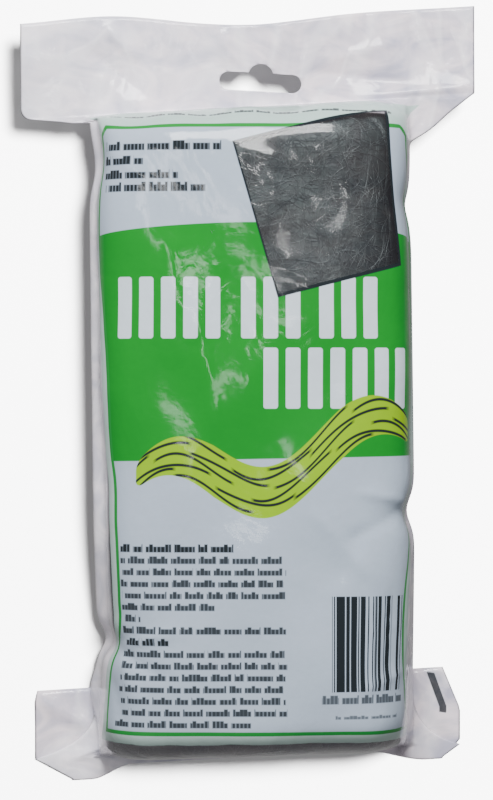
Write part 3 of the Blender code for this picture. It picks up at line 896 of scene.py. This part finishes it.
def dashes(tree, u, v, left, right, top, pitch, rows, height):
    """Rows of dark dashes of uneven length, each broken into upright strokes of uneven height."""
    line = (top - v) / pitch
    row = line.worked("FLOOR")
    step = tree.nodes.new("ShaderNodeTexVoronoi")
    step.voronoi_dimensions = "1D"
    step.feature = "DISTANCE_TO_EDGE"
    step.inputs["Scale"].default_value = 1.0
    give(u / DASH_LENGTH + seeded(row, top, DASH_SEEDS), step.inputs["W"])
    gap = DASH_GAP - Value(tree, step.outputs["Distance"]) * DASH_LENGTH
    strokes = u / STROKE_PITCH
    chance = white_noise(tree, strokes.worked("FLOOR") + seeded(row, top, STROKE_SEEDS))
    low = Value(tree, chance.outputs["Value"]).worked("GREATER_THAN", TALL_STROKES)
    from_top = line.worked("FRACT") * pitch - (pitch - height) / 2
    within = largest(low * (STROKE_DROP * height) - from_top, from_top - height)
    apart = STROKE_GAP - (0.5 - abs(strokes.worked("FRACT") - 0.5)) * STROKE_PITCH
    ragged = (seeded(row, top, RAGGED_SEEDS).worked("SINE") + 1.0) * RAGGED
    extent = box(u + ragged, v, (left, right), (top - rows * pitch, top))
    shape = inside(largest(largest(within, gap), extent), DASH_SOFT)
    faint = Value(tree, chance.outputs["Color"]) * STROKE_FADE
    return shape * (1.0 - inside(0.0 - apart, DASH_SOFT) * faint)


# The print, in metres on the film's map. Its two sides are given by places along and across.
LEFT_EDGE = (
    (0.105, -0.0605), (0.075, -0.0614), (0.049, -0.061), (0.038, -0.0592), (0.022, -0.057),
    (0.007, -0.0558), (-0.022, -0.055), (-0.032, -0.0535), (-0.047, -0.0527), (-0.062, -0.0517),
    (-0.0775, -0.0517), (-0.0875, -0.0523), (-0.0935, -0.055), (-0.104, -0.0583), (-0.1126, -0.06),
    (-0.129, -0.0605),
)
RIGHT_EDGE = (
    (0.105, 0.0645), (0.0917, 0.069), (0.075, 0.076), (0.038, 0.0775), (-0.02, 0.0755),
    (-0.045, 0.0715), (-0.063, 0.0672), (-0.0775, 0.0645), (-0.097, 0.065), (-0.113, 0.0685),
    (-0.129, 0.0735),
)
EDGE_SPAN = 0.2
PRINT_MARGIN = 0.004
FIELD_ENDS = (-0.1338, 0.1245)
BORDER_ENDS = (-0.1292, 0.1052)
BORDER_WIDTH = 0.0017
BORDER_CHAMFER = 0.004
CHAMFER_SLOPE = 0.7
FIELD_WAVE = 0.0022
FIELD_NOISE = (60, 2)
FIELD_SOFT = 0.0006
GREEN_TOP = 0.0668
GREEN_MIDDLE = 0.0026
GREEN_CURVE = 1.2
GREEN_FOOT = -0.0234
GREEN_TILT = 0.018
WINDOW = ((-0.0048, 0.0967), (0.053, 0.1123), (0.059, 0.0517), (0.0118, 0.0396))
BARE_BOX = ((-0.0585, 0.064), (-0.16, 0.112))
BARE_SOFT = 0.004
PRESSED_BOX = ((-0.06, 0.066), (-0.13, 0.108))
PRESSED_SOFT = 0.01
WINDOW_LINE = (0.0013, 0.0013, 0.0014, 0.0007)
TILE_PITCH = 0.0085
TILE_WIDTH = 0.0056
TILE_CORNER = 0.0011
TILE_EASE = 0.0002
TILE_ROWS = (
    (-0.05, 5, (0.0225, 0.046)),
    (-0.0025, 3, (0.0225, 0.046)),
    (0.0272, 3, (0.0225, 0.046)),
    (0.006, 7, (-0.0042, 0.019)),
)
# Rows of dashes: left, right, upper edge, pitch, how many, height, and how dark they are
DASH_ROWS = (
    (-0.0565, -0.01, 0.0987, 0.005, 1, 0.0036, 1.0),
    (-0.0565, -0.0385, 0.0931, 0.005, 1, 0.0034, 1.0),
    (-0.056, -0.025, 0.0877, 0.005, 1, 0.0034, 1.0),
    (-0.0555, -0.0155, 0.0829, 0.005, 1, 0.0036, 1.0),
    (-0.056, 0.057, 0.114, 0.003, 1, 0.002, 0.9),
    (0.0285, 0.064, -0.1126, 0.005, 1, 0.0034, 0.85),
    (0.0352, 0.062, -0.1208, 0.0024, 1, 0.0014, 0.75),
)
# The paragraph of dashes: left, right, first row, how many rows, height, and how dark they are
PARAGRAPH = (
    (-0.048, -0.004, 0, 1, 0.0031, 1.0),
    (-0.048, 0.015, 1, 1, 0.0029, 0.95),
    (-0.048, 0.0152, 2, 3, 0.0028, 0.95),
    (-0.048, -0.011, 5, 1, 0.0028, 0.95),
    (-0.047, -0.04, 6, 1, 0.0028, 0.95),
    (-0.05, 0.015, 7, 1, 0.0028, 0.95),
    (-0.049, -0.03, 8, 1, 0.0029, 1.0),
    (-0.05, 0.0152, 9, 6, 0.0028, 0.95),
    (-0.052, 0.003, 15, 1, 0.0028, 0.95),
)
PARAGRAPH_TOP = -0.0551
PARAGRAPH_PITCH = 0.00448
DASH_LENGTH = 0.0082
DASH_GAP = 0.0006
RAGGED = 0.0008
STROKE_PITCH = 0.0015
STROKE_GAP = 0.00022
STROKE_DROP = 0.28
STROKE_FADE = 0.55
TALL_STROKES = 0.35
DASH_SOFT = 0.0004
DASH_SEEDS = (17.3, 900)
STROKE_SEEDS = (31.7, 700)
RAGGED_SEEDS = (1.7, 300)
RIBBON = (-0.043, 0.066)
RIBBON_MIDDLE = -0.027
RIBBON_SWING = 0.0105
RIBBON_PITCH = 0.078
RIBBON_START = -0.05
RIBBON_CLIMB = 0.2
RIBBON_HALF = 0.0098
RIBBON_TAPER = 0.03
RIBBON_ROUNDING = 0.003
BRUSH_LINES = (-0.0076, -0.0052, -0.0026, 0.0004, 0.003, 0.0054, 0.008)
BRUSH_HALF = 0.00055
BRUSH_SWING = 0.0007
BRUSH_WAVES = (2.3, 900)
BRUSH_BREAKS = (1.7, 1700)
BRUSH_SHARE = 0.45
BRUSH_TAPER = 0.002
CODE_BOX = ((0.0322, 0.0622), (-0.1122, -0.0757))
CODE_STEP = 0.00047
CODE_DARK_SHARE = 0.36
CODE_SOFT = 0.01
EAR_BAR = ((0.0847, -0.1944), (0.0923, -0.177), 0.00135)
WHITE = (0.325, 0.385, 0.465, 1)
MARGIN = (0.36, 0.47, 0.44, 1)
GREEN = (0.001, 0.18, 0.015, 1)
BORDER_GREEN = (0.012, 0.19, 0.03, 1)
TILE_WHITE = (0.47, 0.54, 0.59, 1)
LIME = (0.2, 0.37, 0.0, 1)
DARK = (0.01, 0.014, 0.017, 1)


def window_edge(u, v, grow):
    """Distance outside the window's four sides, each moved out by its own amount."""
    total = None
    for k, (start, width) in enumerate(zip(WINDOW, grow)):
        end = WINDOW[(k + 1) % len(WINDOW)]
        step_u, step_v = end[0] - start[0], end[1] - start[1]
        length = math.hypot(step_u, step_v)
        out_u, out_v = -step_v / length, step_u / length
        offset = out_u * start[0] + out_v * start[1] + width
        side = u * out_u + v * out_v - offset
        total = side if total is None else largest(total, side)
    return total


def slanted(u, v, start, end, half):
    """Distance outside a bar from start to end, this far to each side of its middle."""
    slope = (end[0] - start[0]) / (end[1] - start[1])
    off = abs(u - (v - start[1]) * slope - start[0]) - half
    return largest(off, largest(start[1] - v, v - end[1]))


def side_edge(tree, v, places):
    """How far across one side of the print lies, along the pack."""
    node = tree.nodes.new("ShaderNodeFloatCurve")
    curve = node.mapping.curves[0]
    low, high = places[-1][0], places[0][0]
    for _ in places[2:]:
        curve.points.new(0.5, 0.5)
    for point, (along, across) in zip(curve.points, reversed(places)):
        point.location = ((along - low) / (high - low), across / EDGE_SPAN + 0.5)
    node.mapping.update()
    give(stretched(v, low, high), node.inputs["Value"])
    return (Value(tree, node.outputs[0]) - 0.5) * EDGE_SPAN


def ribbon(u, v):
    """The lime ribbon, and the broken brush lines along it."""
    turn = (u - RIBBON_START) * (2 * math.pi / RIBBON_PITCH)
    off = v - (turn.worked("SINE") * RIBBON_SWING + u * RIBBON_CLIMB + RIBBON_MIDDLE)
    left, right = RIBBON
    taper = smallest(stretched(u, left, left + RIBBON_TAPER), stretched(u, right, right - RIBBON_TAPER))
    half = (taper * 0.5 + 0.5) * RIBBON_HALF
    shape = inside(rounded(abs(off) - half, largest(left - u, u - right), RIBBON_ROUNDING))
    lines = None
    for across in BRUSH_LINES:
        wave = seeded(turn, across, BRUSH_WAVES).worked("SINE") * BRUSH_SWING
        broken = seeded(turn, across, BRUSH_BREAKS).worked("SINE") - BRUSH_SHARE
        line = largest(abs(off - across + wave) - BRUSH_HALF, broken * BRUSH_TAPER)
        lines = line if lines is None else smallest(lines, line)
    return shape, shape * inside(lines, DASH_SOFT)


def print_layers(tree, u, v, place):
    """The print: fields of colour and plain shapes. Gives its colour, and where there is any."""
    beside = largest(side_edge(tree, v, LEFT_EDGE) - u, u - side_edge(tree, v, RIGHT_EDGE))
    above = v - BORDER_ENDS[1]
    border_out = largest(largest(beside, above), BORDER_ENDS[0] - v)
    border_out = largest(border_out, (beside + above + BORDER_CHAMFER) * CHAMFER_SLOPE)
    wave = (noise_value(tree, place, *FIELD_NOISE) - 0.5) * FIELD_WAVE
    field_out = largest(beside - PRINT_MARGIN, largest(FIELD_ENDS[0] + wave - v, v - FIELD_ENDS[1]))
    field = inside(field_out, FIELD_SOFT)
    border = abs(border_out + BORDER_WIDTH / 2) - BORDER_WIDTH / 2
    colour = blended(tree, inside(0.0 - border_out), WHITE, MARGIN)
    off_middle = u - GREEN_MIDDLE
    green = largest(v + off_middle * off_middle * GREEN_CURVE - GREEN_TOP, u * GREEN_TILT + GREEN_FOOT - v)
    colour = blended(tree, inside(largest(green, border_out)), colour, GREEN)
    colour = blended(tree, inside(border), colour, BORDER_GREEN)
    for first, count, along in TILE_ROWS:
        colour = blended(tree, tiles(u, v, first, count, along), colour, TILE_WHITE)
    shape, lines = ribbon(u, v)
    colour = blended(tree, shape, colour, LIME)
    colour = blended(tree, lines, colour, DARK)
    for *row, strength in DASH_ROWS:
        colour = blended(tree, dashes(tree, u, v, *row) * strength, colour, DARK)
    for left, right, first, rows, height, strength in PARAGRAPH:
        top = PARAGRAPH_TOP - first * PARAGRAPH_PITCH
        text = dashes(tree, u, v, left, right, top, PARAGRAPH_PITCH, rows, height)
        colour = blended(tree, text * strength, colour, DARK)
    bars = white_noise(tree, (u / CODE_STEP).worked("FLOOR"))
    stripe = (CODE_DARK_SHARE - Value(tree, bars.outputs["Value"])) * CODE_SOFT
    colour = blended(tree, inside(largest(box(u, v, *CODE_BOX), stripe)), colour, DARK)
    ear_bar = slanted(u, v, *EAR_BAR)
    colour = blended(tree, inside(ear_bar), colour, DARK)
    colour = blended(tree, inside(window_edge(u, v, WINDOW_LINE)), colour, DARK)
    there = field * (1.0 - inside(window_edge(u, v, (0, 0, 0, 0))))
    return colour, largest(there, inside(ear_bar))


def new_material(name):
    """A material, its nodes, and the place of each point on its piece."""
    made = bpy.data.materials.new(name)
    made.use_nodes = True
    made.node_tree.nodes.clear()
    place = made.node_tree.nodes.new("ShaderNodeTexCoord").outputs["Object"]
    return made, made.node_tree, place


def shader(tree, kind, **values):
    node = tree.nodes.new(kind)
    for name, value in values.items():
        socket = node.inputs[name.replace("_", " ")]
        if isinstance(value, bpy.types.NodeSocket):
            tree.links.new(value, socket)
        else:
            give(value, socket)
    return node.outputs[0]


def mixed(tree, share, first, second):
    """One shader over another by a share from 0 to 1."""
    node = tree.nodes.new("ShaderNodeMixShader")
    give(share, node.inputs[0])
    tree.links.new(first, node.inputs[1])
    tree.links.new(second, node.inputs[2])
    return node.outputs[0]


def output(tree, surface):
    node = tree.nodes.new("ShaderNodeOutputMaterial")
    tree.links.new(surface, node.inputs["Surface"])


def bump(tree, height, strength, distance):
    node = tree.nodes.new("ShaderNodeBump")
    node.inputs["Strength"].default_value = strength
    node.inputs["Distance"].default_value = distance
    height.put_into(node.inputs["Height"])
    return node.outputs[0]


INK_COVER = 0.93
HAZE = 0.91
WINDOW_HAZE = 0.02
FILM_TINT = (0.96, 0.955, 0.975, 1)
# Painted sheen: the film over the bare strip at the lower end is milkier, which lightens the strip in
# place of the floor's reflection
STRIP_SHEEN_HAZE = 0.16
HAZE_COOL = (0.43, 0.42, 0.52, 1)
HAZE_WARM = (0.76, 0.68, 0.73, 1)
# Whiter along the crease ridges: stress whitening of the film, and a painted highlight along its creases
CREASE_WHITENING_AND_HIGHLIGHT = (0.98, 0.97, 1.0, 1)
# Painted light on the loose film towards the left: its colour, where it starts and is full across, and how
# much of it
LEFT_PAINTED_LIGHT = (0.94, 0.93, 1.0, 1)
LEFT_PAINTED_LIGHT_PLACES = (0.03, -0.15)
LEFT_PAINTED_LIGHT_SHARE = 0.6
CREASE_WHITENING_AND_HIGHLIGHT_SHARE = 0.3
HAZE_RANGE = 0.2
CLOUD_RANGE = (0.35, 0.65)
INK_RANGE = 0.1
FILM_ROUGH = 0.1
FILM_IOR = 1.3
# Noise of the film: scale, detail, roughness, squeeze and twist
CRINKLE = (34, 3, 0.5, (1, 0.6, 1), 0.8)
FINE = (170, 2, 0.5, (1, 1, 1), 1)
RIDGES = (30, 2, 0.5, (1, 0.6, 1), 1.2)
WORN = (320, 3, 0.7)
CLOUDY = (42, 3, 0.55, (1, 1.6, 1), 1.2)
STREAKY = (95, 3, 0.6, (1, 0.22, 1), 0.9)
CRINKLE_SHARE = 0.9
FINE_SHARE = 0.1
RIDGE_SHARE = 0.2
RIDGE_THIN = 14
# How strong the bump is, and how high
FILM_BUMP = (0.35, 0.002)


def film_material():
    """Thin film: milky where it is loose, clear where it lies on the wool, and printed in front, with some
    painted light in its colour.
    """
    made, tree, place = new_material("film")
    lie = tree.nodes.new("ShaderNodeSeparateXYZ")
    print_map = tree.nodes.new("ShaderNodeUVMap")
    print_map.uv_map = "print"
    tree.links.new(print_map.outputs[0], lie.inputs[0])
    u, v = Value(tree, lie.outputs[0]), Value(tree, lie.outputs[1])
    crinkle, fine, ridges = (noise_value(tree, place, *kind) for kind in (CRINKLE, FINE, RIDGES))
    loose = 1.0 - inside(box(u, v, *PRESSED_BOX), PRESSED_SOFT)
    ridged = (1.0 - abs(ridges - 0.5) * RIDGE_THIN).clamped() * loose
    height = crinkle * CRINKLE_SHARE + fine * FINE_SHARE + ridged * RIDGE_SHARE
    normal = bump(tree, height, *FILM_BUMP)
    colour, there = print_layers(tree, u, v, place)
    worn, cloudy, streaky = (noise_value(tree, place, *kind) for kind in (WORN, CLOUDY, STREAKY))
    over_wool = inside(box(u, v, *BARE_BOX), BARE_SOFT)
    milky = (HAZE + (cloudy - 0.5) * HAZE_RANGE + (streaky - 0.5) * HAZE_RANGE).clamped()
    milk_and_painted_light = blended(tree, stretched(cloudy, *CLOUD_RANGE), HAZE_COOL, HAZE_WARM)
    # Painted light: the loose film is made lighter towards the left, where the light falls
    milk_and_painted_light = blended(tree, stretched(u, *LEFT_PAINTED_LIGHT_PLACES) * LEFT_PAINTED_LIGHT_SHARE, milk_and_painted_light, LEFT_PAINTED_LIGHT)
    # Whiter along the crease ridges: stress whitening, and a painted highlight
    milk_and_painted_light = blended(tree, ridged * CREASE_WHITENING_AND_HIGHLIGHT_SHARE, milk_and_painted_light, CREASE_WHITENING_AND_HIGHLIGHT)
    # Painted sheen: more haze over the bare strip at the lower end makes it lighter
    thin_haze_and_sheen = inside(v - FIELD_ENDS[0]) * STRIP_SHEEN_HAZE + WINDOW_HAZE
    clear = mixed(
        tree,
        milky - over_wool * (milky - thin_haze_and_sheen),
        shader(tree, "ShaderNodeBsdfTransparent", Color=FILM_TINT),
        shader(tree, "ShaderNodeBsdfDiffuse", Color=milk_and_painted_light, Normal=normal),
    )
    printed = shader(tree, "ShaderNodeBsdfDiffuse", Color=colour, Normal=normal)
    body = mixed(tree, (there * (INK_COVER + (worn - 0.5) * INK_RANGE)).clamped(), clear, printed)
    gloss = shader(tree, "ShaderNodeBsdfGlossy", Color=(1, 1, 1, 1), Roughness=FILM_ROUGH, Normal=normal)
    fresnel = tree.nodes.new("ShaderNodeFresnel")
    fresnel.inputs["IOR"].default_value = FILM_IOR
    tree.links.new(normal, fresnel.inputs["Normal"])
    output(tree, mixed(tree, Value(tree, fresnel.outputs[0]), body, gloss))
    return made


# The wool: two ways of streaks, patches, the ranges and shares of its tone, and its colours
STREAKS = (
    (260, 5, 0.7, (1, 0.16, 0.5), 1.6),
    (300, 5, 0.7, (0.2, 1, 0.5), 1.8),
)
PATCHES = (60, 4, 0.6, (1, 1, 1), 1)
STREAK_RANGE = (0.44, 0.76)
STREAK_SHARE = 0.55
PATCH_RANGE = (0.38, 0.66)
WOOL_COLOURS = ((0.003, 0.005, 0.005, 1), (0.036, 0.053, 0.049, 1))
WOOL_METAL = {"Metallic": 0.45, "Roughness": 0.5}
WOOL_BUMP = (0.6, 0.001)
PATCH_RISE = 0.5
# The loose fibres: their patches, the range of these, the colours and the metal
FIBRE_PATCHES = (140, 2)
FIBRE_RANGE = (0.35, 0.65)
FIBRE_COLOURS = ((0.03, 0.04, 0.04, 1), (0.13, 0.15, 0.145, 1))
FIBRE_METAL = {"Metallic": 0.6, "Roughness": 0.45}


def wool_material():
    """Matted fine steel fibres: fine streaks in two ways, with painted shade that makes the hollows
    darker.
    """
    made, tree, place = new_material("wool")
    first, second, patches = (noise_value(tree, place, *kind) for kind in (*STREAKS, PATCHES))
    streaks = largest(first, second)
    # Painted shade: the tone follows the bump's height below, so the wool is darker in its hollows
    tone_and_shade = stretched(streaks, *STREAK_RANGE) * STREAK_SHARE
    tone_and_shade = tone_and_shade + stretched(patches, *PATCH_RANGE) * (1 - STREAK_SHARE)
    colour = blended(tree, tone_and_shade, *WOOL_COLOURS)
    normal = bump(tree, streaks + patches * PATCH_RISE, *WOOL_BUMP)
    output(tree, shader(tree, "ShaderNodeBsdfPrincipled", Base_Color=colour, Normal=normal, **WOOL_METAL))
    return made


def fibre_material():
    """Bright fine steel, a little uneven from fibre to fibre."""
    made, tree, place = new_material("wool_fibres")
    patches = noise_value(tree, place, *FIBRE_PATCHES)
    colour = blended(tree, stretched(patches, *FIBRE_RANGE), *FIBRE_COLOURS)
    output(tree, shader(tree, "ShaderNodeBsdfPrincipled", Base_Color=colour, **FIBRE_METAL))
    return made


FLOOR_SIZE = 3
FLOOR_NOISE = (3, 2)
FLOOR_COLOURS = ((0.86, 0.86, 0.86, 1), (0.89, 0.89, 0.89, 1))


def floor():
    """The plain pale floor."""
    bpy.ops.mesh.primitive_plane_add(size=FLOOR_SIZE)
    made = bpy.context.object
    made.name = "floor"
    finish, tree, place = new_material("floor")
    colour = blended(tree, noise_value(tree, place, *FLOOR_NOISE), *FLOOR_COLOURS)
    output(tree, shader(tree, "ShaderNodeBsdfDiffuse", Color=colour))
    made.data.materials.append(finish)
    made.visible_glossy = False
    made.visible_diffuse = False
    return made


# Where the lights look, then each light: name, place, size and power
LIT_PLACE = (0, 0, BODY_DEPTH / 2)
FLOOR_LIGHT = ("floor_light", (0.3, 0.29, 1.55), (0.26, 0.26), 260)
PACK_LIGHTS = (
    ("key_light", (-0.06, 0.95, 1.12), (0.6, 0.6), 56),
    ("left_strip", (-0.27, 0.2, 1.45), (0.06, 0.7), 2.4),
    ("header_box", (0.1, 0.27, 1.5), (0.12, 0.05), 0.5),
)
SURROUND = 0.32


def area_light(name, place, size, power, receivers):
    """A soft light that reaches only these pieces."""
    data = bpy.data.lights.new(name, "AREA")
    data.shape = "RECTANGLE"
    data.size, data.size_y = size
    data.energy = power
    made = placed(name, data)
    made.location = place
    made.rotation_euler = (Vector(LIT_PLACE) - Vector(place)).to_track_quat("-Z", "Y").to_euler()
    group = bpy.data.collections.new(name)
    for piece in receivers:
        group.objects.link(piece)
    made.light_linking.receiver_collection = group


def lights(pack, ground):
    """Soft studio lights: one over the floor, and softer ones from the sides for the pack."""
    area_light(*FLOOR_LIGHT, ground)
    for light in PACK_LIGHTS:
        area_light(*light, pack)
    world = bpy.data.worlds.new("surround")
    bpy.context.scene.world = world
    world.use_nodes = True
    backdrop = world.node_tree.nodes["Background"]
    backdrop.inputs["Color"].default_value = (1, 1, 1, 1)
    backdrop.inputs["Strength"].default_value = SURROUND


def camera():
    """Straight above the pack, as the photograph has it."""
    data = bpy.data.cameras.new("camera")
    data.sensor_width = SENSOR
    data.lens = SENSOR * CAMERA_HEIGHT / (max(PICTURE) * PIXEL)
    made = placed("camera", data)
    made.location = (*AIM, HEADER_LEVEL + CAMERA_HEIGHT)
    bpy.context.scene.camera = made


def dress():
    """Everything that is seen, on its body of the frame."""
    film, shift = film_bag()
    wool = steel_wool(shift)
    fibres = loose_fibres(wool)
    for piece, finish in ((film, film_material()), (wool, wool_material()), (fibres, fibre_material())):
        piece.data.materials.clear()
        piece.data.materials.append(finish)
        piece.data.shade_smooth()
        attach(piece, "root")
    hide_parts("film_bag")
    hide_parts("steel_wool")
    ground = floor()
    lights((film, wool, fibres), (ground,))
    camera()


dress()
